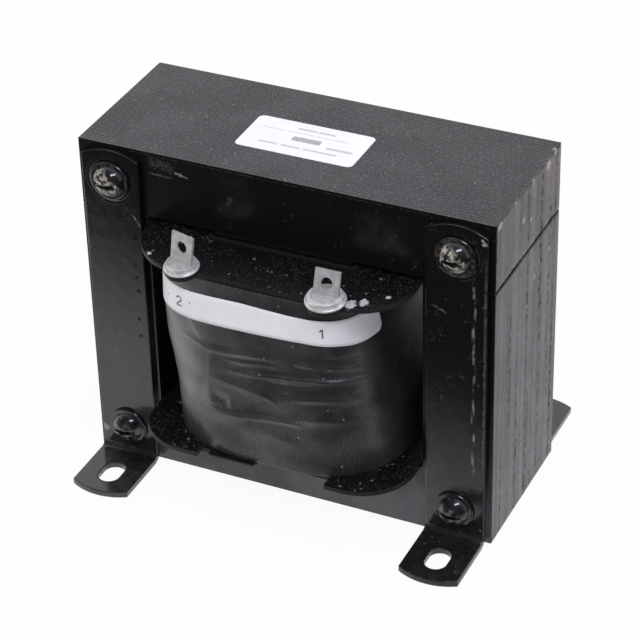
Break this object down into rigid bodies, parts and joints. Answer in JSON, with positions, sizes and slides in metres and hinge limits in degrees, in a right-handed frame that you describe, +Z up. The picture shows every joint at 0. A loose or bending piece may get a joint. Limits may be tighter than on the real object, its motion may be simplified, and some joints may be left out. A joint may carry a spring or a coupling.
{
  "type": "laminated chassis choke",
  "caption": "Open-frame gapped filter choke: laminated core, tape-wrapped coil with two solder terminals, and slotted foot brackets clamped by corner screws.",
  "frame": {"origin": "centred in plan under the feet, on the plane that the feet stand on", "axes": "+X along the long side of the core towards terminal 1, +Y to the back, through the stack, +Z up; the terminals face -Y"},
  "size_m": [0.1332, 0.102, 0.1123],
  "materials": {
    "lamination_steel": "satin black impregnating varnish over stacked sheet edges",
    "pressboard": "varnished",
    "bracket_steel": "glossy black varnish",
    "varnished_fasteners": "glossy black varnish with dust",
    "coil_board": "plain",
    "magnet_wire": "enamelled copper",
    "kraft_paper": "plain",
    "cloth_tape": "woven, soaked in varnish",
    "vulcanised_fibre": "rough varnished fibre",
    "tinned_metal": "dull tin with bright solder",
    "white_tape": "smooth",
    "label_paper": "smooth"
  },
  "bodies": {
    "root": {"e_laminations": "lamination_steel", "i_laminations": "lamination_steel", "left_gap_spacer": "pressboard", "centre_gap_spacer": "pressboard", "right_gap_spacer": "pressboard", "front_left_bracket": "bracket_steel", "front_right_bracket": "bracket_steel", "rear_left_bracket": "bracket_steel", "rear_right_bracket": "bracket_steel", "clamp_screws": "varnished_fasteners", "head_washers": "varnished_fasteners", "rear_washers": "varnished_fasteners", "lock_washers": "varnished_fasteners", "hex_nuts": "varnished_fasteners", "coil_tube": "coil_board", "copper_winding": "magnet_wire", "kraft_paper_wrap": "kraft_paper", "tape_wrap": "cloth_tape", "top_flange": "vulcanised_fibre", "bottom_flange": "vulcanised_fibre", "terminal_1_lug": "tinned_metal", "terminal_2_lug": "tinned_metal", "terminal_1_eyelet": "tinned_metal", "terminal_2_eyelet": "tinned_metal", "terminal_1_lead": "magnet_wire", "terminal_2_lead": "magnet_wire", "number_band": "white_tape", "blank_label": "label_paper"}
  },
  "joints": []
}
